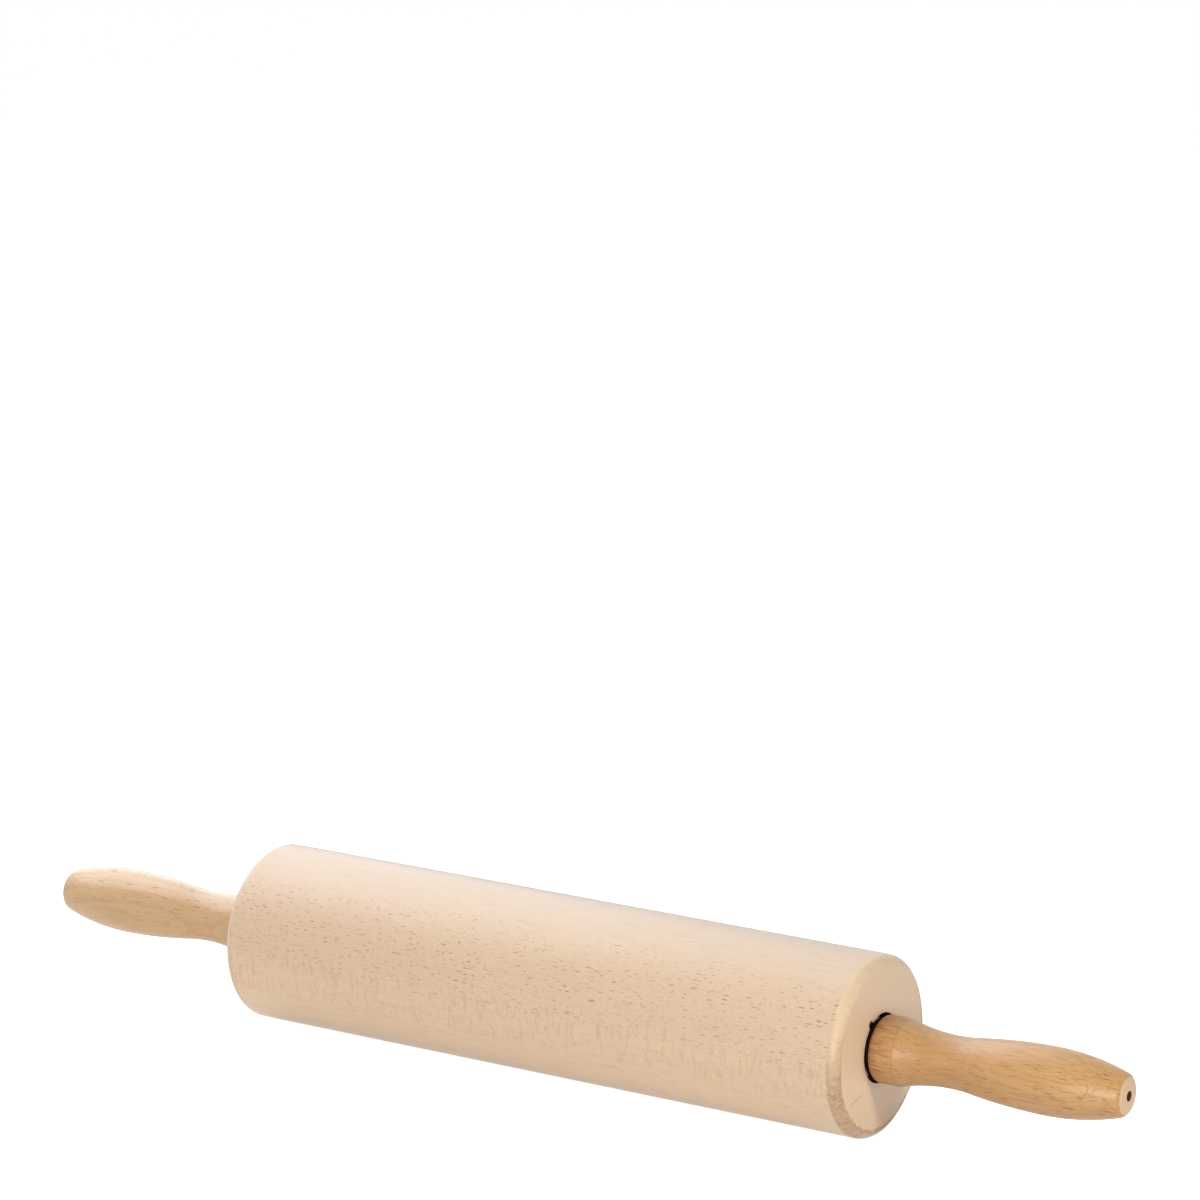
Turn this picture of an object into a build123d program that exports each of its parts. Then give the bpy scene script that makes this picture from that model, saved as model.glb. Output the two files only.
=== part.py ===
from build123d import *
import os

# Rolling pin: a beech barrel that spins on two ball bearings, on an axle between two turned handles.
# Millimetres. The origin is the middle of the pin, on its axis.
# +X runs along the axis towards the right handle, and +Z is up.
# The pieces of the right end are made first, and the left end mirrors them.

# Barrel
barrel_length = 250.0
barrel_diameter = 63.0
barrel_edge_radius = 3.5
mouth_chamfer = 0.3
axle_bore_play = 1.0
clip_relief_play = 1.8
clip_relief_room = 2.2

# Handles, with distances from the barrel's end face
handle_length = 92.0
collar_play = 0.4  # how much its radius is less than the barrel's mouth
collar_length = 9.5
collar_standoff = 0.45  # between the barrel's end face and the collar
collar_edge_radius = 1.6
collar_shoulder_radius = 8.0
waist_diameter = 18.0
waist_distance = 28.0
belly_diameter = 23.2
belly_distance = 64.0
hollow_share = 0.22  # how far from waist to belly the hollow turns into the swell
tip_diameter = 13.9
tip_edge_radius = 1.6
tip_hole_diameter = 3.4
tip_hole_depth = 14.0

# Axle
rod_diameter = 8.0
rod_reach = 21.0  # past the collar's inner end
rod_end_chamfer = 0.8
rod_end_room = 3.0
rod_bore_play = 0.3

# Threaded insert in each handle, barbed outside
insert_diameter = 12.0
insert_length = 18.0
insert_barb_count = 4
insert_barb_height = 0.6

# Washer and spacer between collar and bearing
washer_rim_room = 1.4  # from the washer's rim to the wall of the barrel's mouth
washer_thickness = 1.2
washer_play = 0.2
spacer_inset = 0.65  # inside the rim of the bearing's inner ring
spacer_length = 3.0

# Retaining ring in the axle's groove
clip_thickness = 0.8
clip_groove_depth = 0.2
clip_groove_play = 0.05
clip_band = 1.6
clip_gap = 3.4
clip_lug_radius = 1.3
clip_eye_diameter = 1.2

# Ball bearing
bearing_diameter = 24.0
bearing_chamfer = 0.3
ball_diameter = 4.76
ball_count = 7
ball_play = 0.02
race_share = 0.52  # groove radius, as a share of the ball's diameter
race_depth = 0.8
pocket_play = 0.05
cage_web = 0.65  # behind the balls
cage_gap = 0.7  # from each ring's shoulder
cage_room = 0.3  # from the shields
claw_reach = 1.4  # past the balls' middle
claw_slot_width = 1.2
shield_sheet = 0.4
shield_inset = 0.22
shield_rim = 0.9
shield_seat_depth = 0.5
shield_gap = 0.2

# Radial room between pieces that are pressed, screwed or clamped together
seat_clearance = 0.02
# How far a cutter runs past what it cuts
overrun = 1.0

rod_radius = rod_diameter / 2
bearing_radius = bearing_diameter / 2
ball_radius = ball_diameter / 2
pitch_radius = (rod_radius + bearing_radius) / 2
race_radius = race_share * ball_diameter
inner_race_bottom = pitch_radius - ball_radius - ball_play
outer_race_bottom = pitch_radius + ball_radius + ball_play
inner_shoulder_radius = inner_race_bottom + race_depth
outer_shoulder_radius = outer_race_bottom - race_depth
pocket_radius = ball_radius + pocket_play
cage_back = pocket_radius + cage_web
shield_face = cage_back + cage_room + shield_sheet
half_width = shield_face + shield_inset

barrel_end = barrel_length / 2
barrel_radius = barrel_diameter / 2
mouth_radius = bearing_radius + seat_clearance
collar_radius = mouth_radius - collar_play
tip_end = barrel_end + handle_length
collar_end = barrel_end + collar_standoff
washer_end = collar_end - washer_thickness
bearing_face = washer_end - spacer_length
bearing_middle = bearing_face - half_width
bearing_shoulder = bearing_middle - half_width
rod_end = collar_end + rod_reach

clip_inner_radius = rod_radius - clip_groove_depth + seat_clearance
clip_lug_side = clip_gap / 2 + clip_lug_radius
clip_lug_height = clip_inner_radius + clip_lug_radius
clip_reach = Vector(clip_lug_side, clip_lug_height).length + clip_lug_radius


# A round bar or a tube along X, from start to stop.
def bar(radius, start, stop):
    middle = (start + stop) / 2
    return Pos(middle, 0, 0) * Rot(0, 90, 0) * Cylinder(radius, stop - start)


def tube(outer_radius, inner_radius, start, stop):
    return bar(outer_radius, start, stop) - bar(inner_radius, start - overrun, stop + overrun)


def mirrored(shape):
    return mirror(shape, about=Plane.YZ)


# The circular edges of a given radius whose centres lie at one place along X.
def rims(shape, x, radius):
    near = seat_clearance / 2
    circles = shape.edges().filter_by(GeomType.CIRCLE)
    return [e for e in circles if abs(e.arc_center.X - x) < near and abs(e.radius - radius) < near]


def both_rims(shape, x, radius):
    return rims(shape, x, radius) + rims(shape, -x, radius)


# Seat for the bearing, and behind it room for the retaining ring to turn in.
def bearing_seat():
    relief_start = bearing_shoulder - clip_thickness - clip_relief_room
    seat = bar(mouth_radius, bearing_shoulder, barrel_end + overrun)
    return seat + bar(clip_reach + clip_relief_play, relief_start, bearing_shoulder + overrun)


def barrel():
    blank = bar(barrel_radius, -barrel_end, barrel_end)
    blank = fillet(both_rims(blank, barrel_end, barrel_radius), barrel_edge_radius)
    blank -= bar(rod_radius + axle_bore_play, -barrel_end, barrel_end)
    blank -= bearing_seat()
    blank -= mirrored(bearing_seat())
    return chamfer(both_rims(blank, barrel_end, mouth_radius), mouth_chamfer)


# The handle's half section: straight collar, hollow waist, swelling belly and a nose drawn in to the tip.
def handle_section():
    foot = Vector(collar_end, 0)
    collar_start = Vector(collar_end, collar_radius)
    collar_stop = Vector(barrel_end + collar_length, collar_radius)
    waist = Vector(barrel_end + waist_distance, waist_diameter / 2)
    belly = Vector(barrel_end + belly_distance, belly_diameter / 2)
    turn = waist + (belly - waist) * hollow_share
    tip = Vector(tip_end, tip_diameter / 2)
    tip_centre = Vector(tip_end, 0)
    outline = [
        Polyline(tip_centre, foot, collar_start, collar_stop),
        TangentArc(waist, collar_stop, tangent=(-1, 0)),
        TangentArc(waist, turn, tangent=(1, 0)),
        TangentArc(belly, turn, tangent=(-1, 0)),
        TangentArc(belly, tip, tangent=(1, 0)),
        Line(tip, tip_centre),
    ]
    return make_face(outline)


def handle():
    turned = revolve(handle_section(), Axis.X)
    turned = fillet(rims(turned, collar_end, collar_radius), collar_edge_radius)
    turned = fillet(rims(turned, barrel_end + collar_length, collar_radius), collar_shoulder_radius)
    turned = fillet(rims(turned, tip_end, tip_diameter / 2), tip_edge_radius)
    turned -= bar(insert_diameter / 2 + seat_clearance, collar_end - overrun, collar_end + insert_length)
    turned -= bar(rod_radius + rod_bore_play, collar_end - overrun, rod_end + rod_end_room)
    return turned - bar(tip_hole_diameter / 2, tip_end - tip_hole_depth, tip_end + overrun)


# Each barb slopes down from a square step, so the insert goes in easily and bites on the way out.
def threaded_insert():
    insert_end = collar_end + insert_length
    core_radius = insert_diameter / 2 - insert_barb_height
    barb_length = insert_length / insert_barb_count
    barbed = bar(core_radius, collar_end, insert_end)
    for n in range(insert_barb_count):
        middle = collar_end + (n + 1 / 2) * barb_length
        barbed += Pos(middle, 0, 0) * Rot(0, 90, 0) * Cone(insert_diameter / 2, core_radius, barb_length)
    return barbed - bar(rod_radius + seat_clearance, collar_end - overrun, insert_end + overrun)


def axle_rod():
    rod = bar(rod_radius, -rod_end, rod_end)
    rod = chamfer(both_rims(rod, rod_end, rod_radius), rod_end_chamfer)
    groove_start = bearing_shoulder - clip_thickness - clip_groove_play
    groove = tube(rod_radius + overrun, rod_radius - clip_groove_depth, groove_start, bearing_shoulder)
    return rod - groove - mirrored(groove)


def load_washer():
    return tube(mouth_radius - washer_rim_room, rod_radius + washer_play, washer_end, collar_end)


def spacer_sleeve():
    return tube(inner_shoulder_radius - spacer_inset, rod_radius + seat_clearance, bearing_face, washer_end)


# An open ring with an eyed lug at each side of its gap.
def retaining_ring():
    band_radius = clip_inner_radius + clip_band
    lugs = [Pos(side * clip_lug_side, clip_lug_height) for side in (-1, 1)]
    flat = Circle(band_radius) - Rectangle(clip_gap, band_radius + overrun, align=(Align.CENTER, Align.MIN))
    for lug in lugs:
        flat += lug * Circle(clip_lug_radius)
    flat -= Circle(clip_inner_radius)
    for lug in lugs:
        flat -= lug * Circle(clip_eye_diameter / 2)
    return Pos(bearing_shoulder - clip_thickness, 0, 0) * Rot(0, 90, 0) * extrude(flat, clip_thickness)


# The bearing's pieces are made about its own middle, outboard side towards +X, and then put in place.
def at_bearing(shape):
    return Pos(bearing_middle, 0, 0) * shape


def raceway(centre_radius):
    return Rot(0, 90, 0) * Torus(centre_radius, race_radius)


def outer_ring():
    ring = tube(bearing_radius, outer_shoulder_radius, -half_width, half_width)
    ring = chamfer(both_rims(ring, half_width, bearing_radius), bearing_chamfer)
    seat_start = shield_face - shield_rim - seat_clearance
    seat = bar(outer_shoulder_radius + shield_seat_depth, seat_start, half_width + overrun)
    return ring - raceway(outer_race_bottom - race_radius) - seat - mirrored(seat)


def inner_ring():
    bore_radius = rod_radius + seat_clearance
    ring = tube(inner_shoulder_radius, bore_radius, -half_width, half_width)
    ring = chamfer(both_rims(ring, half_width, bore_radius), bearing_chamfer)
    return ring - raceway(inner_race_bottom + race_radius)


# Equal spheres at the balls' places, their poles on the radius through each.
def spheres(radius):
    turn = 360 / ball_count
    return [Rot(n * turn, 0, 0) * Pos(0, 0, pitch_radius) * Sphere(radius) for n in range(ball_count)]


# A crown cage: a ring that holds each ball in a pocket between two claws, with a slot between the pockets.
def cage():
    outer_radius = outer_shoulder_radius - cage_gap
    crown = tube(outer_radius, inner_shoulder_radius + cage_gap, -cage_back, claw_reach)
    for pocket in spheres(pocket_radius):
        crown -= pocket
    turn = 360 / ball_count
    slot = Pos(claw_reach, 0, pitch_radius) * Box(2 * claw_reach, claw_slot_width, outer_radius)
    for n in range(ball_count):
        crown -= Rot((n + 1 / 2) * turn, 0, 0) * slot
    return crown


# A thin dished disc whose rim sits in the outer ring and whose bore clears the inner one.
def shield():
    rim_radius = outer_shoulder_radius + shield_seat_depth - seat_clearance
    disc = tube(rim_radius, inner_shoulder_radius + shield_gap, shield_face - shield_sheet, shield_face)
    return disc + tube(rim_radius, rim_radius - shield_sheet, shield_face - shield_rim, shield_face)


right_end = {
    "handle": handle(),
    "threaded_insert": threaded_insert(),
    "load_washer": load_washer(),
    "spacer_sleeve": spacer_sleeve(),
    "retaining_ring": retaining_ring(),
    "bearing_outer_ring": at_bearing(outer_ring()),
    "bearing_inner_ring": at_bearing(inner_ring()),
    "bearing_balls": at_bearing(Compound(spheres(ball_radius))),
    "bearing_cage": at_bearing(cage()),
    "bearing_shield_outboard": at_bearing(shield()),
    "bearing_shield_inboard": at_bearing(mirrored(shield())),
}

os.makedirs("parts", exist_ok=True)
export_step(barrel(), "parts/barrel.step")
export_step(axle_rod(), "parts/axle_rod.step")
for name, piece in right_end.items():
    export_step(piece, f"parts/{name}_right.step")
    export_step(mirrored(piece), f"parts/{name}_left.step")
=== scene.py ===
import math

import bmesh
import bpy
from mathutils import Matrix, Vector


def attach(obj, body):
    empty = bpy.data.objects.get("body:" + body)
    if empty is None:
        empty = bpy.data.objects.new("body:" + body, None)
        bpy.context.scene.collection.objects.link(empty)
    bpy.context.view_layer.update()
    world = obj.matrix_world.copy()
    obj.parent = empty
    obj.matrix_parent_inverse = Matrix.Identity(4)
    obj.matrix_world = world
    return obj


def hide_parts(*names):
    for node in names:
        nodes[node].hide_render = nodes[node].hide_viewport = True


# Rolling pin: raw beech barrel on two ball bearings, lacquered beech handles, white studio.
# Metres throughout, angles in degrees. X is the pin's axis, with the right handle towards +X.
# A pair of places in a dictionary says where an effect fades in, from the first to the second.

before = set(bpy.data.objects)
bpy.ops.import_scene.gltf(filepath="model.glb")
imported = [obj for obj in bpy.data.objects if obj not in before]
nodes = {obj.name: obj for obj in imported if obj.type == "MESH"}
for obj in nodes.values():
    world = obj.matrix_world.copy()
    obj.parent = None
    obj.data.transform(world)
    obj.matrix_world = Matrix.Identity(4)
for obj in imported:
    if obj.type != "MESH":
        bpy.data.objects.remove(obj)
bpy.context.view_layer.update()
print("frame loaded:", len(nodes), "CAD nodes")


# Short ways to add and link nodes

def addNode(tree, kind, inputs=None, **settings):
    made = tree.nodes.new(kind)
    for name, value in settings.items():
        setattr(made, name, value)
    for socket, value in (inputs or {}).items():
        if isinstance(value, bpy.types.NodeSocket):
            tree.links.new(value, made.inputs[socket])
        else:
            made.inputs[socket].default_value = value
    return made


def maths(tree, operation, *values):
    return addNode(tree, "ShaderNodeMath", dict(enumerate(values)), operation=operation).outputs[0]


def product(tree, first, *others):
    for other in others:
        first = maths(tree, "MULTIPLY", first, other)
    return first


def fade(tree, value, start, end, low=0.0, high=1.0):
    # smooth step from low at start to high at end
    inputs = {0: value, 1: start, 2: end, 3: low, 4: high}
    return addNode(tree, "ShaderNodeMapRange", inputs, interpolation_type="SMOOTHSTEP").outputs[0]


def mixColour(tree, factor, first, second):
    inputs = {0: factor, 6: first, 7: second}
    return addNode(tree, "ShaderNodeMix", inputs, data_type="RGBA").outputs[2]


def layTones(tree, colour, layers):
    # lays each tone over the colour, by its share
    for share, tone in layers:
        colour = mixColour(tree, share, colour, tone)
    return colour


def splitVector(tree, vector):
    return addNode(tree, "ShaderNodeSeparateXYZ", {0: vector}).outputs


def joinVector(tree, x, y, z):
    return addNode(tree, "ShaderNodeCombineXYZ", {0: x, 1: y, 2: z}).outputs[0]


def stretched(tree, vector, x, y, z):
    # the same place in other units along X, Y and Z
    inputs = {0: vector, 1: (x, y, z)}
    return addNode(tree, "ShaderNodeVectorMath", inputs, operation="MULTIPLY").outputs[0]


def noise(tree, vector, scale, detail=2.0, roughness=0.5, distortion=0.0):
    inputs = {
        "Vector": vector, "Scale": scale, "Detail": detail,
        "Roughness": roughness, "Distortion": distortion,
    }
    return addNode(tree, "ShaderNodeTexNoise", inputs).outputs[0]


def awayFromAxis(tree, y, z):
    return maths(tree, "SQRT", maths(tree, "MULTIPLY_ADD", y, y, maths(tree, "MULTIPLY", z, z)))


def newGroup(name, inputs, outputs):
    tree = bpy.data.node_groups.new(name, "ShaderNodeTree")
    for label, kind in inputs:
        tree.interface.new_socket(name=label, in_out="INPUT", socket_type="NodeSocket" + kind)
    for label in outputs:
        tree.interface.new_socket(name=label, in_out="OUTPUT", socket_type="NodeSocketFloat")
    return tree, tree.nodes.new("NodeGroupInput").outputs, tree.nodes.new("NodeGroupOutput").inputs


def useGroup(tree, group, inputs):
    return addNode(tree, "ShaderNodeGroup", inputs, node_tree=group).outputs


def newMaterial(name):
    made = bpy.data.materials.new(name)
    made.use_nodes = True
    tree = made.node_tree
    place = addNode(tree, "ShaderNodeTexCoord").outputs["Object"]
    return made, tree, tree.nodes["Principled BSDF"], place


def setShader(tree, shader, **sockets):
    for name, value in sockets.items():
        socket = shader.inputs[name.replace("_", " ")]
        if isinstance(value, bpy.types.NodeSocket):
            tree.links.new(value, socket)
        else:
            socket.default_value = value


def addBump(tree, height, distance, under=None):
    # relief of the given depth, on top of the relief under it
    inputs = {"Height": height, "Strength": 1.0, "Distance": distance}
    if under:
        inputs["Normal"] = under
    return addNode(tree, "ShaderNodeBump", inputs).outputs[0]


# Solid beech in a log's own axes: X up the trunk, Y outwards from the pith, Z round the rings.
# A ray is a thin upright sheet that runs outwards, so it shows as a dash where the bark side is cut.
def makeBeechFigure():
    inputs = ["Pith Distance", "Ray Height", "Ray Spacing", "Ray Reach", "Ray Thickness", "Ring Width"]
    outputs = ["Rays", "Fine Rays", "Ripples", "Rings", "Fibres", "Streaks", "Clouds"]
    tree, given, result = newGroup(
        "beechFigure", [("Place", "Vector")] + [(label, "Float") for label in inputs], outputs,
    )
    place = given["Place"]
    x, y, z = splitVector(tree, place)
    fromPithY = maths(tree, "ADD", y, given["Pith Distance"])
    outwards = maths(tree, "SUBTRACT", awayFromAxis(tree, fromPithY, z), given["Pith Distance"])
    around = maths(tree, "MULTIPLY", maths(tree, "ARCTAN2", z, fromPithY), given["Pith Distance"])
    # slow wander of the grain
    wander = maths(tree, "SUBTRACT", noise(tree, place, 28.0, 1.0), 0.5)
    around = maths(tree, "MULTIPLY_ADD", wander, 0.0035, around)
    wavyOut = maths(tree, "MULTIPLY_ADD", wander, 0.006, outwards)

    def rayLayer(height, spacing, reach, thickness, shift):
        cells = joinVector(
            tree,
            maths(tree, "ADD", maths(tree, "DIVIDE", x, height), shift),
            maths(tree, "DIVIDE", wavyOut, reach),
            maths(tree, "DIVIDE", around, spacing),
        )
        found = addNode(tree, "ShaderNodeTexVoronoi", {"Vector": cells, "Scale": 1.0, "Randomness": 1.0})
        fromMiddle = {0: cells, 1: found.outputs["Position"]}
        offset = addNode(tree, "ShaderNodeVectorMath", fromMiddle, operation="SUBTRACT").outputs[0]
        up, out, aside = splitVector(tree, offset)
        pick = splitVector(tree, found.outputs["Color"])  # each ray's own height and strength
        thin = maths(tree, "DIVIDE", maths(tree, "MULTIPLY", aside, spacing), thickness)
        tall = maths(tree, "DIVIDE", up, maths(tree, "MULTIPLY_ADD", pick[0], 0.26, 0.12))
        deep = maths(tree, "DIVIDE", out, 0.42)
        total = maths(tree, "MULTIPLY", thin, thin)
        total = maths(tree, "MULTIPLY_ADD", tall, tall, total)
        total = maths(tree, "MULTIPLY_ADD", deep, deep, total)
        return product(tree, fade(tree, total, 1.3, 0.35), fade(tree, pick[1], 0.05, 0.9, 0.25, 1.0))

    # thick rays, and a finer layer of shorter and closer ones
    sizes = [given[label] for label in ("Ray Height", "Ray Spacing", "Ray Reach", "Ray Thickness")]
    fineShares = (0.55, 0.55, 0.6, 0.6)
    rays = rayLayer(*sizes, 0.0)
    fine = rayLayer(*[product(tree, size, share) for size, share in zip(sizes, fineShares)], 7.3)
    # ripples: short soft streaks across the grain, where the cut runs along the rays
    bend = maths(tree, "SUBTRACT", noise(tree, place, 160.0, 1.0), 0.5)
    bentX = maths(tree, "MULTIPLY_ADD", bend, 0.004, x)
    rippled = stretched(tree, joinVector(tree, bentX, y, z), 850, 200, 200)
    ripples = fade(tree, noise(tree, rippled, 1.0, 1.5), 0.50, 0.70)
    # growth rings: slow rise of colour through each year, then a quick fall
    years = maths(tree, "DIVIDE", wavyOut, given["Ring Width"])
    phase = maths(tree, "FRACT", maths(tree, "MULTIPLY_ADD", noise(tree, place, 60.0, 1.0), 0.7, years))
    rings = product(tree, maths(tree, "POWER", phase, 3.0), fade(tree, phase, 1.0, 0.93))
    # fibres and pores: long and thin up the trunk
    drawn = joinVector(tree, product(tree, x, 0.045), outwards, around)
    fibres = noise(tree, drawn, 2200.0, 3.0, 0.6, 0.4)
    streaked = stretched(tree, joinVector(tree, x, wavyOut, around), 0.10, 1.0, 1.0)
    streaks = noise(tree, streaked, 1100.0, 2.0, 0.6, 0.5)
    clouds = noise(tree, joinVector(tree, product(tree, x, 0.25), wavyOut, around), 90.0, 3.0)
    made = {
        "Rays": rays, "Fine Rays": fine, "Ripples": ripples, "Rings": rings,
        "Fibres": fibres, "Streaks": fade(tree, streaks, 0.48, 0.68), "Clouds": clouds,
    }
    for label, value in made.items():
        tree.links.new(value, result[label])
    return tree


# Fine rings that a lathe tool or grinder leaves round the axis, on walls and on end faces
def makeTurnedLines():
    inputs = [("Place", "Vector"), ("Pitch", "Float")]
    tree, given, result = newGroup("turnedLines", inputs, ["Height", "Streaks"])
    x, y, z = splitVector(tree, given["Place"])
    radius = awayFromAxis(tree, y, z)
    along = maths(tree, "DIVIDE", maths(tree, "ADD", x, radius), given["Pitch"])
    lines = noise(tree, joinVector(tree, along, 0.0, 0.0), 1.0, 3.0, 0.7)
    angle = maths(tree, "ARCTAN2", z, y)
    streaks = noise(tree, joinVector(tree, product(tree, along, 0.4), angle, radius), 1.3, 2.0)
    tree.links.new(lines, result["Height"])
    tree.links.new(streaks, result["Streaks"])
    return tree


beechFigure = makeBeechFigure()
turnedLines = makeTurnedLines()
print("shared node groups made")


def figureOf(tree, place, look, barkTurn):
    # the beech figure with the bark side turned up from the front by barkTurn degrees
    turn = (math.radians(180 + barkTurn), 0, 0)
    inLog = addNode(tree, "ShaderNodeMapping", {"Vector": place, "Rotation": turn}).outputs[0]
    figure = useGroup(tree, beechFigure, {
        "Place": inLog, "Pith Distance": look["pithDistance"], "Ray Height": look["rayHeight"],
        "Ray Spacing": look["raySpacing"], "Ray Reach": look["rayReach"],
        "Ray Thickness": look["rayThickness"], "Ring Width": look["ringWidth"],
    })
    return inLog, figure


# Raw beech of the barrel

barrelLook = {
    "light": (0.810, 0.600, 0.390, 1.0),
    "deep": (0.715, 0.490, 0.325, 1.0),
    # pale: painted highlight over the top of the barrel
    "pale": (0.735, 0.612, 0.482, 1.0),
    # warm: painted bounce light on the front underside of the barrel
    "warmBounce": (0.905, 0.670, 0.410, 1.0),
    "pink": (0.770, 0.500, 0.350, 1.0),
    "ray": (0.340, 0.145, 0.048, 1.0),
    "ripple": (0.580, 0.345, 0.180, 1.0),
    "endGrain": (0.560, 0.335, 0.165, 1.0),
    "rimPaleHighlight": (0.850, 0.625, 0.380, 1.0),
    "torn": (0.290, 0.135, 0.050, 1.0),
    "face": (0.870, 0.620, 0.375, 1.0),
    # mouth: painted shade inside the bearing recess
    "mouth": (0.055, 0.025, 0.012, 1.0),
    "barkTurn": 26.0,
    "pithDistance": 0.085,
    "rayHeight": 0.0042,
    "raySpacing": 0.00115,
    "rayReach": 0.009,
    "rayThickness": 0.00018,
    "ringWidth": 0.0031,
    "dashShare": 0.90,  # how strong each mark or tone is, up to 1
    "speckShare": 0.30,
    "rippleShare": 0.36,
    "streakShare": 0.24,
    "fibreShare": 0.35,
    "pinkShare": 0.4,
    "paleHighlightShare": 0.4,
    "warmBounceShare": 0.4,
    "faceShare": 0.7,
    "rimShareLeftHighlight": (0.2, 0.85),  # the left end's rounding gets less of the end grain tone, a painted highlight
    "mouthShare": 0.95,
    "paleHighlightSide": (-0.007, -0.024),  # across the log; the top is paler, a painted highlight
    # where the painted bounce light fades in, across the log
    "warmBounceSide": (0.005, 0.018),
    "wall": (0.1236, 0.1226),  # along the pin, from the middle
    "endFace": (0.1244, 0.1249),
    "rimStart": (0.1214, 0.1224),
    "rimStop": (0.0292, 0.0298),  # from the axis, before the wander is taken off
    "rimWander": (0.0012, 0.0030),  # along the pin, and outwards
    "rimStrokes": 1200.0,  # noise scale of the torn strokes over the rounding
    "rimRelief": 0.00012,
    "mouthWall": (0.01208, 0.01203),  # from the axis
    "mouthDepth": (0.1080, 0.1085),
    "roughness": 0.46,
    "specular": 1.0,
    "coat": 0.40,
    "coatRoughness": 0.40,
    "sheen": 0.65,
    "sheenRoughness": 0.4,
    "grooves": 0.00005,  # depth of a ray's groove
    "hairline": ((-0.0219, -0.0143), (-0.0099, -0.0123)),  # Y and Z where the check starts and ends
    "hairlineWidth": (0.00022, 0.00006),
    "hairlineFace": (0.1235, 0.1245),
    "hairlineShare": 0.7,
    "chipAt": (0.1250, -0.0076, 0.0102),
    "chipSize": 0.0018,
}


def makeHairline(tree, place, look):
    # 1 on a thin straight check in the right end face
    (y0, z0), (y1, z1) = look["hairline"]
    x, y, z = splitVector(tree, place)
    slope = (z1 - z0) / (y1 - y0)
    off = maths(tree, "SUBTRACT", maths(tree, "MULTIPLY_ADD", y, -slope, z), z0 - slope * y0)
    line = fade(tree, maths(tree, "ABSOLUTE", off), *look["hairlineWidth"])
    starts = fade(tree, y, y0, y0 + 0.001)
    ends = fade(tree, y, y1, y1 - 0.006)  # it thins out slowly
    return product(tree, line, starts, ends, fade(tree, x, *look["hairlineFace"]))


def makeChipShade(tree, place, look):
    # 1 inside the small splinter mark at the right mouth, which is painted dark as painted shade
    ends = {0: place, 1: look["chipAt"]}
    offset = addNode(tree, "ShaderNodeVectorMath", ends, operation="DISTANCE").outputs[1]
    return fade(tree, offset, look["chipSize"], 0.6 * look["chipSize"])


def makeRim(tree, place, away, radius, look):
    # share, colour and torn strokes of the rough end grain on the barrel's roundings
    x, y, z = splitVector(tree, place)
    tear = noise(tree, place, 700.0, 2.0)
    outside = maths(tree, "MULTIPLY_ADD", tear, look["rimWander"][0], away)
    inside = maths(tree, "MULTIPLY_ADD", tear, look["rimWander"][1], radius)
    rim = product(tree, fade(tree, outside, *look["rimStart"]), fade(tree, inside, *look["rimStop"]))
    # strokes run from the wall over the rounding to the end face
    onRim = maths(tree, "DIVIDE", barrelForm["radius"], radius)
    across = product(tree, maths(tree, "SUBTRACT", away, radius), 0.40)
    unrolled = joinVector(tree, across, product(tree, y, onRim), product(tree, z, onRim))
    marks = noise(tree, unrolled, look["rimStrokes"], 2.0, 0.5, 0.35)
    # most of them below, in patches: the torn grain is real, its gathering on the underside is painted
    # shade
    patches = fade(tree, noise(tree, place, 170.0, 1.0), 0.40, 0.60, 0.45, 1.0)
    lower = product(tree, fade(tree, z, 0.014, -0.022, 0.16, 1.0), patches)
    strokes = product(tree, fade(tree, marks, 0.45, 0.60), lower)
    # the rounding is paler towards the top, a painted highlight
    tone = mixColour(tree, fade(tree, z, -0.008, 0.020), look["endGrain"], look["rimPaleHighlight"])
    tone = mixColour(tree, strokes, tone, look["torn"])
    # the left end's rounding is kept paler, a painted highlight
    share = product(tree, rim, fade(tree, x, -0.01, 0.01, *look["rimShareLeftHighlight"]))
    return share, tone, product(tree, strokes, rim)


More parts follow.
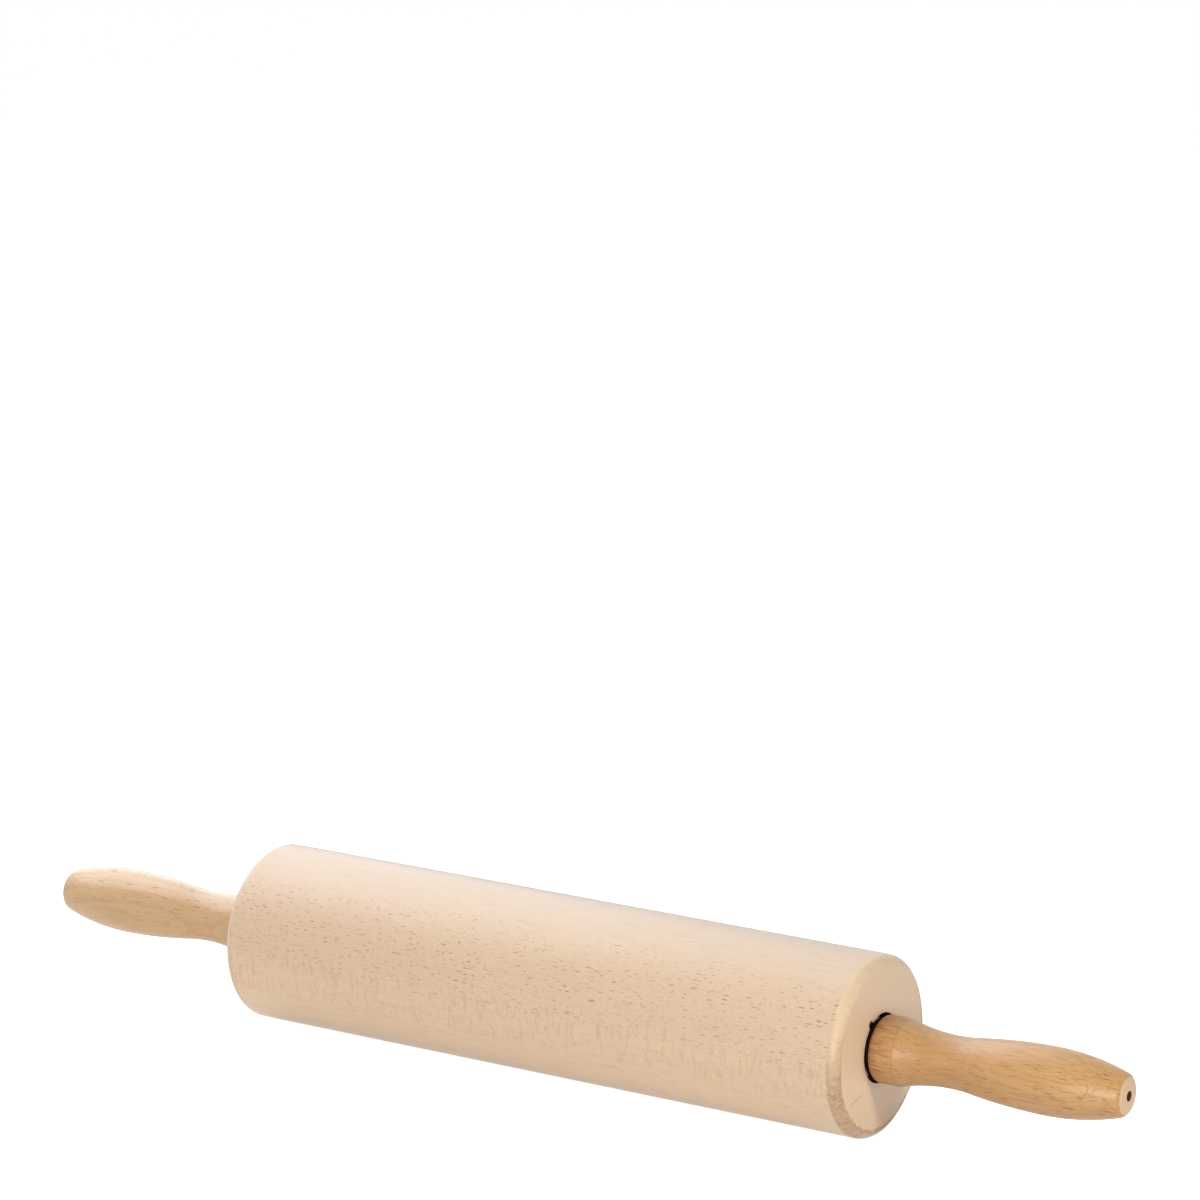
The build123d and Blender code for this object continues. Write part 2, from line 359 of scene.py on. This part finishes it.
def makeRawBeech():
    look = barrelLook
    made, tree, shader, place = newMaterial("rawBeech")
    inLog, figure = figureOf(tree, place, look, look["barkTurn"])
    x, y, z = splitVector(tree, inLog)
    away = maths(tree, "ABSOLUTE", x)
    radius = awayFromAxis(tree, y, z)
    # 1 where the bark or the pith side is cut, and rays show end on
    facing = maths(tree, "ABSOLUTE", maths(tree, "DIVIDE", y, maths(tree, "ADD", radius, 0.0001)))
    face = fade(tree, facing, 0.80, 0.94)
    # 1 beside it, where ripples show
    beside = product(
        tree, fade(tree, facing, 0.97, 0.90), fade(tree, facing, 0.56, 0.74), fade(tree, z, 0.0, 0.01),
    )
    wall = fade(tree, away, *look["wall"])  # 0 on the end faces
    clouds = fade(tree, figure["Clouds"], 0.3, 0.7, 0.25, 0.55)
    drift = noise(tree, stretched(tree, inLog, 0.4, 1.0, 1.0), 24.0, 1.0)
    fibres = mixColour(tree, figure["Fibres"], look["deep"], look["light"])
    rings = product(tree, figure["Rings"], fade(tree, wall, 1.0, 0.0, 0.25, 0.6))
    streaks = product(tree, figure["Streaks"], fade(tree, facing, 0.90, 0.60, 0.6, 1.0), wall)
    # dashes stand in loose groups
    grouping = noise(tree, stretched(tree, inLog, 0.6, 1.0, 1.0), 75.0, 1.0)
    crowd = fade(tree, grouping, 0.38, 0.56, 0.55, 1.0)
    dashes = product(tree, figure["Rays"], fade(tree, face, 0.0, 1.0, 0.10, 1.0), crowd, wall)
    specks = product(tree, figure["Fine Rays"], fade(tree, face, 0.0, 1.0, 0.3, 1.0), wall)
    ripples = product(tree, figure["Ripples"], beside, wall)
    rimShareLeftHighlight, rimTone, rimStrokes = makeRim(tree, place, away, radius, look)
    # painted shade: the mouth's wall and the chip are painted dark, without sheen, coat or shine
    mouth = product(tree, fade(tree, radius, *look["mouthWall"]), fade(tree, away, *look["mouthDepth"]))
    mouth = maths(tree, "MAXIMUM", mouth, makeChipShade(tree, place, look))
    outsideMouthShade = maths(tree, "SUBTRACT", 1.0, mouth)
    hairline = makeHairline(tree, place, look)
    colour = layTones(tree, mixColour(tree, clouds, look["light"], look["deep"]), [
        (fade(tree, drift, 0.40, 0.64, 0.0, look["pinkShare"]), look["pink"]),
        # painted highlight: the top of the barrel is paler
        (fade(tree, z, *look["paleHighlightSide"], 0.0, look["paleHighlightShare"]), look["pale"]),
        # painted bounce light: the front underside is warmer and brighter
        (fade(tree, z, *look["warmBounceSide"], 0.0, look["warmBounceShare"]), look["warmBounce"]),
        (look["fibreShare"], fibres),
        (rings, look["deep"]),
        (product(tree, streaks, look["streakShare"]), look["ripple"]),
        (product(tree, dashes, look["dashShare"]), look["ray"]),
        (product(tree, ripples, look["rippleShare"]), look["ripple"]),
        (product(tree, specks, look["speckShare"]), look["ray"]),
        (fade(tree, away, *look["endFace"], 0.0, look["faceShare"]), look["face"]),
        (rimShareLeftHighlight, rimTone),
        (product(tree, hairline, look["hairlineShare"]), look["ray"]),
        (product(tree, mouth, look["mouthShare"]), look["mouth"]),
    ])
    height = maths(tree, "MULTIPLY_ADD", dashes, -1.0, product(tree, figure["Fibres"], 0.35))
    height = maths(tree, "MULTIPLY_ADD", ripples, 0.25, height)
    relief = addBump(tree, height, look["grooves"])
    setShader(
        tree, shader, Base_Color=colour,
        Normal=addBump(tree, rimStrokes, look["rimRelief"], relief),
        Roughness=maths(tree, "MULTIPLY_ADD", figure["Fibres"], 0.12, look["roughness"]),
        Specular_IOR_Level=product(tree, outsideMouthShade, look["specular"]),
        Sheen_Weight=product(tree, outsideMouthShade, look["sheen"]), Sheen_Roughness=look["sheenRoughness"],
        Coat_Weight=product(tree, outsideMouthShade, look["coat"]), Coat_Roughness=look["coatRoughness"],
    )
    return made


# Lacquered beech of the handles

handleLook = {
    "light": (0.700, 0.405, 0.160, 1.0),
    "deep": (0.550, 0.280, 0.092, 1.0),
    "pale": (0.840, 0.640, 0.430, 1.0),
    "paleHighlightShare": {"right": 0.0, "left": 0.47},  # the left handle is paler all over, a painted highlight
    "ray": (0.300, 0.105, 0.022, 1.0),
    "fleck": (0.350, 0.140, 0.034, 1.0),
    "rayShare": {"right": 0.9, "left": 0.55},
    "grainShare": {"right": 0.65, "left": 0.27},
    "speckShare": 0.35,
    "fibreShare": 0.3,
    "ringShare": 0.35,
    "scarShare": 0.6,
    "scuffAndShadeShare": 0.85,
    "gapShadeShare": 0.45,
    "underShadeShare": 0.42,
    "creaseShadeShare": 0.20,
    "tipShare": 0.85,
    "holeShadeShare": 0.9,
    "endGrain": (0.820, 0.550, 0.310, 1.0),
    # scorch: dark tone for the collar's streaks, and for painted shade at the gap, under the neck and in
    # the crease
    "scorchAndShade": (0.290, 0.110, 0.040, 1.0),
    # hole: painted shade inside the tip hole
    "holeShade": (0.045, 0.016, 0.007, 1.0),
    "barkTurn": {"right": 35.0, "left": -20.0},
    "pithDistance": 0.060,
    "rayHeight": 0.0072,
    "raySpacing": 0.0018,
    "rayReach": 0.008,
    "rayThickness": 0.00018,
    "ringWidth": 0.0026,
    "roughness": 0.36,
    "coat": {"right": 0.60, "left": 0.60},
    "coatRoughness": {"right": 0.33, "left": 0.22},
    "specular": 0.5,
    "bareSpecular": 0.05,  # where there is no lacquer
    "grooves": 0.00002,
    "scuffAndShade": (0.1345, 0.1264),  # streaks on the collar, along the pin, stronger towards the gap as painted shade
    "gapShade": (0.1300, 0.1260),  # painted shade: even darkening towards the gap
    "under": (0.1430, 0.1270),  # painted shade: darker underside of the neck
    "underShadeSide": (-0.002, -0.011),  # its Z
    "creaseAt": 0.1347,
    "creaseWidth": (0.0008, 0.0002),
    "bareEdge": (0.1270, 0.1263),  # no lacquer from here to the gap
    "tipFace": (0.2163, 0.2167),
    "holeWall": (0.00185, 0.00175),  # from the axis
    "holeFloor": (0.2025, 0.2029),
    "scar": {"x": 0.2065, "turn": 17.0, "radius": 0.0021, "width": 0.00026},  # right handle only
}


def makeScar(tree, place, look):
    # 1 on a short dark arc in the wood, which opens towards the barrel
    scar = look["scar"]
    x, y, z = splitVector(tree, place)
    turn = math.radians(scar["turn"])
    up = maths(tree, "MULTIPLY_ADD", z, math.cos(turn), product(tree, y, math.sin(turn)))
    towards = maths(tree, "MULTIPLY_ADD", z, math.sin(turn), product(tree, y, -math.cos(turn)))
    aside = maths(tree, "SUBTRACT", x, scar["x"] - scar["radius"])
    off = maths(tree, "ABSOLUTE", maths(tree, "SUBTRACT", awayFromAxis(tree, aside, up), scar["radius"]))
    half = fade(tree, aside, 0.2 * scar["radius"], 0.7 * scar["radius"])
    line = fade(tree, off, scar["width"], 0.3 * scar["width"])
    return product(tree, line, half, fade(tree, towards, 0.0, 0.002))


def makeLacqueredBeech(end):
    look = handleLook
    made, tree, shader, place = newMaterial("lacqueredBeech" + end.capitalize())
    inLog, figure = figureOf(tree, place, look, look["barkTurn"][end])
    x, y, z = splitVector(tree, place)
    away = maths(tree, "ABSOLUTE", x)
    radius = awayFromAxis(tree, y, z)
    grain = noise(tree, stretched(tree, inLog, 0.05, 1.0, 1.0), 1500.0, 3.0, 0.6, 0.5)
    fibres = mixColour(tree, figure["Fibres"], look["deep"], look["light"])
    # darker, scuffed collar: real streaks that grow stronger towards the gap as painted shade, and a
    # faint dark line of painted shade at the crease where it ends
    scuffAndShade = noise(tree, stretched(tree, place, 0.14, 1.0, 1.0), 850.0, 3.0, 0.6)
    collar = product(tree, fade(tree, away, *look["scuffAndShade"]), fade(tree, scuffAndShade, 0.42, 0.60, 0.12, 1.0))
    # painted shade on the neck's underside
    under = product(tree, fade(tree, away, *look["under"]), fade(tree, z, *look["underShadeSide"]))
    crease = maths(tree, "ABSOLUTE", maths(tree, "SUBTRACT", away, look["creaseAt"]))
    # painted shade: the tip hole is painted dark inside, and has no lacquer
    holeShade = product(tree, fade(tree, radius, *look["holeWall"]), fade(tree, away, *look["holeFloor"]))
    bare = maths(tree, "MAXIMUM", holeShade, fade(tree, away, *look["bareEdge"]))
    layers = [
        (fade(tree, figure["Clouds"], 0.3, 0.7), look["deep"]),
        # painted highlight: the left handle is paler
        (look["paleHighlightShare"][end], look["pale"]),
        (fade(tree, grain, 0.48, 0.66, 0.0, look["grainShare"][end]), look["fleck"]),
        (look["fibreShare"], fibres),
        (product(tree, figure["Rings"], look["ringShare"]), look["deep"]),
        (product(tree, figure["Rays"], look["rayShare"][end]), look["ray"]),
        (product(tree, figure["Fine Rays"], look["speckShare"]), look["fleck"]),
    ]
    if end == "right":
        layers.append((product(tree, makeScar(tree, place, look), look["scarShare"]), look["ray"]))
    layers += [
        (product(tree, collar, look["scuffAndShadeShare"]), look["scorchAndShade"]),
        # painted shade towards the gap
        (fade(tree, away, *look["gapShade"], 0.0, look["gapShadeShare"]), look["scorchAndShade"]),
        (product(tree, under, look["underShadeShare"]), look["scorchAndShade"]),
        (fade(tree, crease, *look["creaseWidth"], 0.0, look["creaseShadeShare"]), look["scorchAndShade"]),
        (product(tree, fade(tree, away, *look["tipFace"]), look["tipShare"]), look["endGrain"]),
        (product(tree, holeShade, look["holeShadeShare"]), look["holeShade"]),
    ]
    height = maths(tree, "MULTIPLY_ADD", figure["Rays"], -0.7, figure["Fibres"])
    coat, dulled = look["coat"][end], look["bareSpecular"] - look["specular"]
    setShader(
        tree, shader, Base_Color=layTones(tree, look["light"], layers),
        Normal=addBump(tree, height, look["grooves"]),
        Roughness=maths(tree, "MULTIPLY_ADD", figure["Fibres"], 0.1, look["roughness"]),
        Coat_Weight=maths(tree, "MULTIPLY_ADD", bare, -coat, coat),
        Coat_Roughness=look["coatRoughness"][end],
        Specular_IOR_Level=maths(tree, "MULTIPLY_ADD", bare, dulled, look["specular"]),
    )
    return made


# Metals and nylon of the running gear

metalLook = {
    "turnedSteel": {
        "colour": (0.56, 0.56, 0.57, 1.0), "roughness": (0.22, 0.42),
        "pitch": 0.00022, "relief": 0.000006,
    },
    "axleSteel": {
        "colour": (0.56, 0.56, 0.57, 1.0), "roughness": (0.20, 0.38),
        "pitch": 0.00018, "relief": 0.000005,
    },
    "bearingSteel": {
        "colour": (0.66, 0.66, 0.68, 1.0), "roughness": (0.08, 0.20),
        "pitch": 0.00012, "relief": 0.000002,
    },
    "brass": {
        "colour": (0.76, 0.56, 0.25, 1.0), "roughness": (0.22, 0.40),
        "pitch": 0.00030, "relief": 0.000008,
    },
}
metalDirt = (0.25, 0.22, 0.19, 1.0)
axleThread = {"start": 0.1280, "pitch": 0.00125, "depth": 0.0006}


def makeThread(tree, place):
    # height of a right-hand thread on the axle's ends
    x, y, z = splitVector(tree, place)
    start, pitch = axleThread["start"], axleThread["pitch"]
    turns = maths(tree, "DIVIDE", maths(tree, "ARCTAN2", z, y), 2 * math.pi)
    wave = maths(tree, "PINGPONG", maths(tree, "ADD", maths(tree, "DIVIDE", x, pitch), turns), 0.5)
    return product(tree, wave, 2.0, fade(tree, maths(tree, "ABSOLUTE", x), start, start + pitch))


def makeMetal(name):
    look = metalLook[name]
    made, tree, shader, place = newMaterial(name)
    lines = useGroup(tree, turnedLines, {"Place": place, "Pitch": look["pitch"]})
    smudge = noise(tree, place, 260.0, 3.0)
    relief = addBump(tree, lines["Height"], look["relief"])
    if name == "axleSteel":
        relief = addBump(tree, makeThread(tree, place), axleThread["depth"], relief)
    setShader(
        tree, shader, Metallic=1.0, Normal=relief,
        Base_Color=mixColour(tree, product(tree, smudge, 0.3), look["colour"], metalDirt),
        Roughness=fade(tree, lines["Streaks"], 0.3, 0.7, *look["roughness"]),
    )
    return made


# black phosphate is dark of itself; its warm brown tint and lack of shine are painted shade for the gap
# where it shows
springLook = {
    "dark": (0.012, 0.005, 0.003, 1.0),
    "pale": (0.030, 0.015, 0.010, 1.0),
    "roughness": (0.45, 0.65),
    "specular": 0.0,
    "relief": 0.00001,
}


def makeSpringSteel():
    look = springLook
    made, tree, shader, place = newMaterial("springSteel")
    grain = noise(tree, place, 2600.0, 3.0)
    setShader(
        tree, shader, Base_Color=mixColour(tree, grain, look["dark"], look["pale"]),
        Roughness=fade(tree, grain, 0.3, 0.7, *look["roughness"]),
        Normal=addBump(tree, grain, look["relief"]),
        Specular_IOR_Level=look["specular"],
    )
    return made


nylonLook = {
    "deep": (0.66, 0.59, 0.44, 1.0),
    "pale": (0.74, 0.68, 0.54, 1.0),
    "roughness": (0.40, 0.52),
    "relief": 0.00001,
}


def makeCageNylon():
    look = nylonLook
    made, tree, shader, place = newMaterial("cageNylon")
    mottle = noise(tree, place, 700.0, 2.0)
    setShader(
        tree, shader, Base_Color=mixColour(tree, mottle, look["deep"], look["pale"]),
        Roughness=fade(tree, mottle, 0.3, 0.7, *look["roughness"]),
        Normal=addBump(tree, noise(tree, place, 5000.0, 2.0), look["relief"]),
    )
    return made


# which finish each CAD node of the running gear gets, by the start of its name
finishOf = {
    "axle_rod": "axleSteel",
    "load_washer": "springSteel",
    "spacer_sleeve": "turnedSteel",
    "bearing_shield": "turnedSteel",
    "bearing_outer": "bearingSteel",
    "bearing_inner": "bearingSteel",
    "bearing_balls": "bearingSteel",
    "bearing_cage": "cageNylon",
    "retaining_ring": "springSteel",
    "threaded_insert": "brass",
}


def dressRunningGear():
    finishes = {name: makeMetal(name) for name in metalLook}
    finishes["springSteel"] = makeSpringSteel()
    finishes["cageNylon"] = makeCageNylon()
    for nodeName, node in nodes.items():
        for start, finish in finishOf.items():
            if nodeName.startswith(start):
                node.data.materials.clear()
                node.data.materials.append(finishes[finish])


# Turned pieces

weldDistance = 1e-7
edgeTolerance = 2e-5  # how near a point lies to the edge that roundOver looks for


def pointsOnArc(start, end, heading, count):
    # points after start, up to end, on the arc that leaves start along heading
    first, last, along = Vector(start), Vector(end), Vector(heading).normalized()
    inwards = Vector((-along.y, along.x))
    chord = last - first
    centre = first + inwards * chord.length_squared / (2 * inwards.dot(chord))
    spoke = first - centre
    sweep = math.atan2(spoke.cross(last - centre), spoke.dot(last - centre))
    return [tuple(centre + Matrix.Rotation(sweep * n / count, 2) @ spoke) for n in range(1, count + 1)]


def turnProfile(points, steps):
    # spins a closed outline of (x, radius) points round X
    mesh = bmesh.new()
    ring = [mesh.verts.new((x, 0, r)) for x, r in points]
    edges = [mesh.edges.new((ring[n - 1], ring[n])) for n in range(len(ring))]
    bmesh.ops.spin(
        mesh, geom=ring + edges, axis=(1, 0, 0), cent=(0, 0, 0),
        angle=2 * math.pi, steps=steps, use_merge=True,
    )
    bmesh.ops.remove_doubles(mesh, verts=mesh.verts, dist=weldDistance)
    return mesh


def roundOver(mesh, x, radius, offset, segments):
    # rounds the edge that runs round X at one place and radius
    def onIt(vert):
        return abs(vert.co.x - x) < edgeTolerance and abs(vert.co.yz.length - radius) < edgeTolerance

    circle = [edge for edge in mesh.edges if onIt(edge.verts[0]) and onIt(edge.verts[1])]
    bmesh.ops.bevel(
        mesh, geom=circle, offset=offset, offset_type="OFFSET",
        affect="EDGES", segments=segments, profile=0.5, material=-1,
    )


def finishPiece(mesh, name, body, material, sharp):
    bmesh.ops.recalc_face_normals(mesh, faces=mesh.faces)
    data = bpy.data.meshes.new(name)
    mesh.to_mesh(data)
    mesh.free()
    data.shade_smooth()
    data.set_sharp_from_angle(angle=math.radians(sharp))
    data.materials.append(material)
    piece = bpy.data.objects.new(name, data)
    bpy.context.scene.collection.objects.link(piece)
    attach(piece, body)
    print("made", name, len(data.polygons), "faces")
    return piece


barrelForm = {
    "end": 0.125,
    "radius": 0.0315,
    "edgeRadius": 0.0035,
    "mouthRadius": 0.01202,
    "mouthBreak": 0.0003,
    "shoulder": 0.11325,  # where the bearing stops
    "reliefRadius": 0.00903,
    "reliefStart": 0.11025,
    "boreRadius": 0.005,
    "steps": 240,
    "chipAt": (-0.60, 0.80),  # Y and Z direction of the small chip in the right mouth
    "chipWidth": 0.0030,
    "chipDepth": 0.0014,
    "sharpAngle": 35,
}


def chipMouth(mesh, form):
    # a small splinter is gone from the right mouth
    middle = Vector(form["chipAt"]).normalized() * form["mouthRadius"]
    for vert in mesh.verts:
        radial = vert.co.yz
        if vert.co.x < form["end"] - 2 * form["mouthBreak"]:
            continue
        if radial.length > form["mouthRadius"] + 2 * form["mouthBreak"]:
            continue
        near = 1 - 2 * (radial - middle).length / form["chipWidth"]
        if near > 0:
            vert.co.yz = radial + radial.normalized() * near * form["chipWidth"] / 2


def makeBarrel():
    form = barrelForm
    end, shoulder, relief = form["end"], form["shoulder"], form["reliefStart"]
    inner = [
        (end, form["mouthRadius"] + form["chipWidth"]),  # a ring round the mouth, outside the chip
        (end, form["mouthRadius"]),
        (end - form["chipDepth"], form["mouthRadius"]), (shoulder, form["mouthRadius"]),
        (shoulder, form["reliefRadius"]), (relief, form["reliefRadius"]), (relief, form["boreRadius"]),
    ]
    outline = [(-end, form["radius"]), (end, form["radius"])]
    outline += inner + [(-x, r) for x, r in reversed(inner)]
    mesh = turnProfile(outline, form["steps"])
    for side in (-end, end):
        roundOver(mesh, side, form["radius"], form["edgeRadius"], 10)
        roundOver(mesh, side, form["mouthRadius"], form["mouthBreak"], 2)
    chipMouth(mesh, form)
    piece = finishPiece(mesh, "barrelWood", "barrel", makeRawBeech(), form["sharpAngle"])
    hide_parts("barrel")


handleForm = {
    "collarEnd": 0.12545,
    "collarRadius": 0.01162,
    "collarStop": 0.1345,
    "collarEdge": 0.0016,
    "shoulderEdge": 0.0006,
    "waist": (0.153, 0.009),
    "belly": (0.189, 0.0116),
    "hollowShare": 0.22,  # how far from waist to belly the hollow turns into the swell
    "tip": (0.217, 0.00695),
    "tipEdge": 0.0022,
    "tipHole": (0.203, 0.0017),  # where its floor is, and its radius
    "rodBore": (0.14945, 0.0043),
    "insertBore": (0.14345, 0.00602),
    "steps": 144,
    "sharpAngle": 28,
}


def makeHandle(end):
    form = handleForm
    waist, belly = Vector(form["waist"]), Vector(form["belly"])
    turn = waist.lerp(belly, form["hollowShare"])
    tipX, tipRadius = form["tip"]
    holeX, holeRadius = form["tipHole"]
    rodX, rodRadius = form["rodBore"]
    insertX, insertRadius = form["insertBore"]
    collarEnd, collarStop, collarRadius = form["collarEnd"], form["collarStop"], form["collarRadius"]
    outline = [(insertX, insertRadius), (collarEnd, insertRadius), (collarEnd, collarRadius)]
    toCollar = pointsOnArc(waist, (collarStop, collarRadius), (-1, 0), 12)
    toTurn = pointsOnArc(belly, turn, (-1, 0), 10)
    outline += toCollar[::-1] + [tuple(waist)] + pointsOnArc(waist, turn, (1, 0), 5)
    outline += toTurn[-2::-1] + [tuple(belly)] + pointsOnArc(belly, form["tip"], (1, 0), 12)
    outline += [(tipX, holeRadius), (holeX, holeRadius), (holeX, 0)]
    outline += [(rodX, 0), (rodX, rodRadius), (insertX, rodRadius)]
    mesh = turnProfile(outline, form["steps"])
    roundOver(mesh, collarEnd, collarRadius, form["collarEdge"], 6)
    roundOver(mesh, tipX, tipRadius, form["tipEdge"], 6)
    roundOver(mesh, collarStop, collarRadius, form["shoulderEdge"], 3)
    if end == "left":
        bmesh.ops.scale(mesh, vec=(-1, 1, 1), verts=mesh.verts)
    piece = finishPiece(
        mesh, "handleWood" + end.capitalize(), "handles_and_axle",
        makeLacqueredBeech(end), form["sharpAngle"],
    )
    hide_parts("handle_" + end)


dressRunningGear()
print("running gear dressed")
makeBarrel()
makeHandle("right")
makeHandle("left")


# Camera and studio

cameraView = {
    "lens": 150.0,
    "sensor": 36.0,
    "frame": 1200,
    "distance": 1.742551,
    "azimuth": 31.956,
    "elevation": 13.766,
    "pinAt": (566.999, 986.08),  # where the middle of the pin falls in the frame
    "clip": (0.05, 50),
}


def makeCamera():
    view = cameraView
    azimuth, elevation = math.radians(view["azimuth"]), math.radians(view["elevation"])
    level = math.cos(elevation)
    back = Vector((math.sin(azimuth) * level, -math.cos(azimuth) * level, math.sin(elevation)))
    right = Vector((math.cos(azimuth), math.sin(azimuth), 0))
    up = back.cross(right)
    perPixel = view["distance"] * view["sensor"] / view["lens"] / view["frame"]
    aside, below = [(at - view["frame"] / 2) * perPixel for at in view["pinAt"]]
    data = bpy.data.cameras.new("studioCamera")
    data.lens, data.sensor_width = view["lens"], view["sensor"]
    data.clip_start, data.clip_end = view["clip"]
    camera = bpy.data.objects.new("studioCamera", data)
    turn = Matrix((right, up, back)).transposed().to_4x4()
    camera.matrix_world = Matrix.Translation(back * view["distance"] - right * aside + up * below) @ turn
    bpy.context.scene.collection.objects.link(camera)
    bpy.context.scene.camera = camera


studioLook = {
    "floorLevel": -0.0315,
    "floorSize": 12.0,
    "floorColour": (0.88, 0.88, 0.88, 1.0),
    "floorRoughness": 0.9,
    "floorGlow": 0.86,  # for camera rays, so the floor meets the white backdrop without a line
    "floorMirrored": 0.25,  # for mirror rays, so the pin's underside stays warm
    "worldGlow": 1.0,  # for camera and mirror rays
    "worldLight": 0.09,  # for diffuse rays
    "white": (1, 1, 1, 1),
}
lamps = {
    "backSoftbox": {"place": (-0.80, 0.72, 0.68), "aim": (-0.1, 0, 0), "size": (0.7, 1.2), "power": 4.8},
    "topSoftbox": {"place": (-0.80, -0.02, 0.82), "aim": (-0.05, 0, 0), "size": (0.9, 0.9), "power": 7.0},
    "frontSoftbox": {"place": (0.90, -2.00, 0.30), "aim": (0, 0, 0), "size": (1.8, 1.0), "power": 29.5},
}
keyLamp = {  # throws the right handle's shadow on the end face
    "place": (0.750, -0.155, 0.500), "aim": (0.15, 0, 0), "size": 0.07, "power": 10.0, "cone": 34.0,
}


def glowSeen(tree, direct, mirrored, diffuse):
    # one strength for camera and glass rays, one for mirror rays and one for diffuse light
    paths = addNode(tree, "ShaderNodeLightPath").outputs
    straight = maths(tree, "MAXIMUM", paths["Is Camera Ray"], paths["Is Transmission Ray"])
    strength = maths(tree, "MULTIPLY_ADD", paths["Is Glossy Ray"], mirrored - diffuse, diffuse)
    return maths(tree, "MAXIMUM", strength, product(tree, straight, direct))


def makeFloor():
    look = studioLook
    mesh = bmesh.new()
    bmesh.ops.create_grid(mesh, x_segments=1, y_segments=1, size=look["floorSize"] / 2)
    bmesh.ops.translate(mesh, verts=mesh.verts, vec=(0, 0, look["floorLevel"]))
    data = bpy.data.meshes.new("studioFloor")
    mesh.to_mesh(data)
    mesh.free()
    paint, tree, shader, place = newMaterial("studioFloor")
    glow = glowSeen(tree, look["floorGlow"], look["floorMirrored"], 0.0)
    setShader(
        tree, shader, Base_Color=look["floorColour"], Roughness=look["floorRoughness"],
        Emission_Color=look["white"], Emission_Strength=glow,
    )
    data.materials.append(paint)
    floor = bpy.data.objects.new("studioFloor", data)
    bpy.context.scene.collection.objects.link(floor)


def makeWorld():
    look = studioLook
    world = bpy.data.worlds.new("studioWorld")
    world.use_nodes = True
    tree = world.node_tree
    background = tree.nodes["Background"]
    background.inputs["Color"].default_value = look["white"]
    glow = glowSeen(tree, look["worldGlow"], look["worldGlow"], look["worldLight"])
    tree.links.new(glow, background.inputs["Strength"])
    bpy.context.scene.world = world


def placeLamp(name, data, lamp):
    source = bpy.data.objects.new(name, data)
    source.location = lamp["place"]
    towards = Vector(lamp["aim"]) - Vector(lamp["place"])
    source.rotation_euler = towards.to_track_quat("-Z", "Y").to_euler()
    bpy.context.scene.collection.objects.link(source)
    return source


def makeLamps():
    for name, lamp in lamps.items():
        data = bpy.data.lights.new(name, "AREA")
        data.shape = "RECTANGLE"
        data.size, data.size_y = lamp["size"]
        data.energy = lamp["power"]
        placeLamp(name, data, lamp)
    data = bpy.data.lights.new("keyLamp", "SPOT")
    data.energy, data.shadow_soft_size = keyLamp["power"], keyLamp["size"]
    data.spot_size, data.spot_blend = math.radians(keyLamp["cone"]), 1.0
    placeLamp("keyLamp", data, keyLamp).visible_glossy = False


makeCamera()
makeFloor()
makeWorld()
makeLamps()
bpy.context.scene.view_settings.view_transform = "Standard"
print("studio lit")
